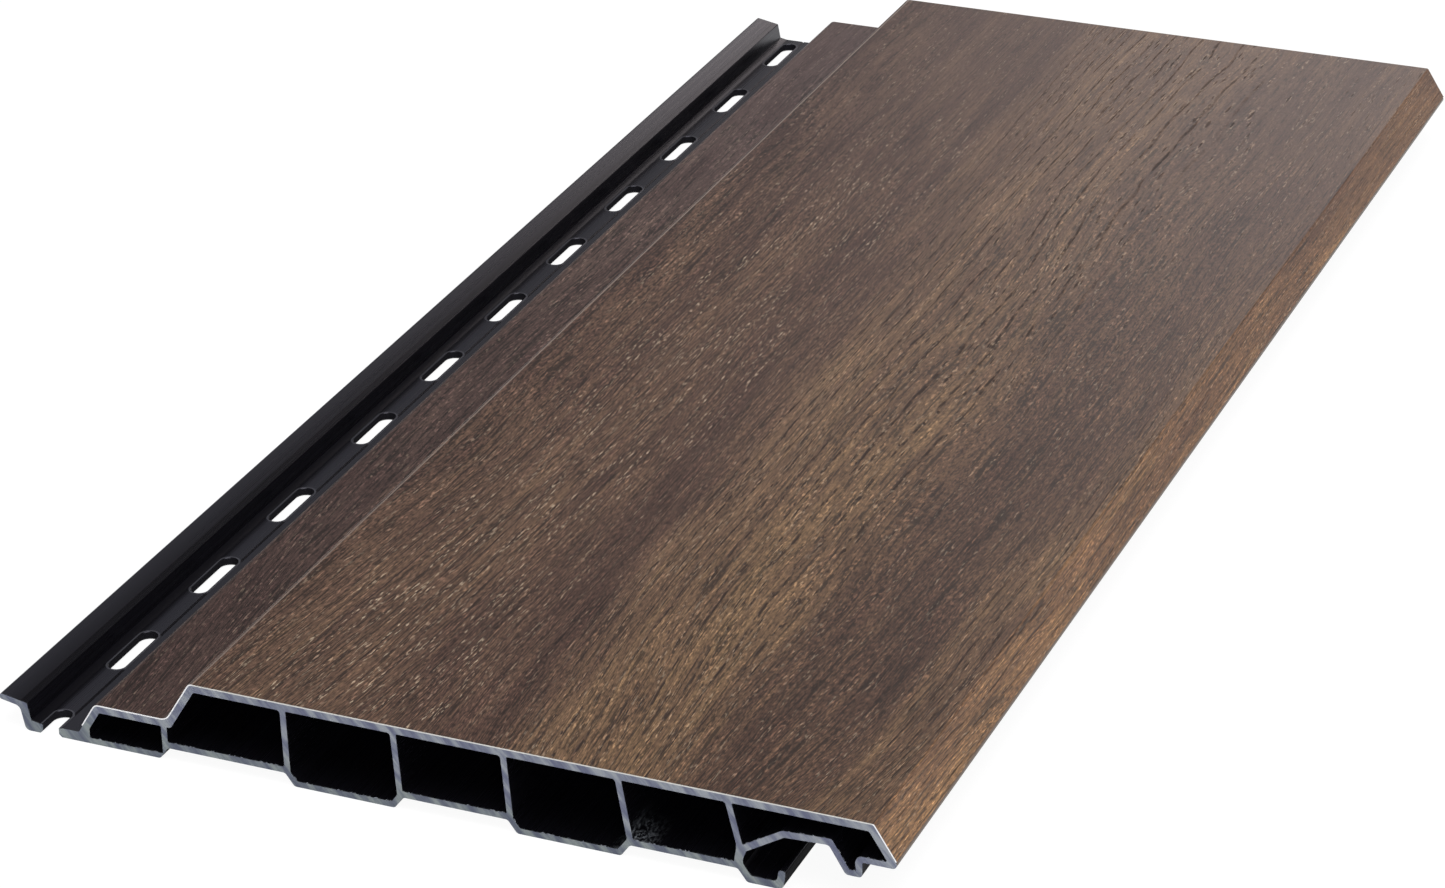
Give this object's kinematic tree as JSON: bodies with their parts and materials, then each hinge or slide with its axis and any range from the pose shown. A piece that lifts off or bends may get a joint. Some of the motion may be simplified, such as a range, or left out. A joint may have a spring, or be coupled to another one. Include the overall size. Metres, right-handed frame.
{
  "type": "outdoor wall panel",
  "caption": "Hollow-chamber PVC cladding panel with a wood-look film, a slotted nailing flange along one side and an interlocking hook and pocket along the other.",
  "frame": {"origin": "middle of the panel's outline, on the plane that its low ribs lie on", "axes": "+Z out of the decorative face, +Y along the length towards the end with eight evenly spaced slots, +X across the width from the nailing flange to the locking edge"},
  "size_m": [0.2324, 0.48, 0.0223],
  "materials": {
    "hollow_board": "black PVC, satin where extruded, grey and dull where sawn",
    "decor_film": "embossed wood-look film, dark oak"
  },
  "bodies": {
    "root": {"hollow_board": "hollow_board", "decor_film": "decor_film"}
  },
  "joints": []
}
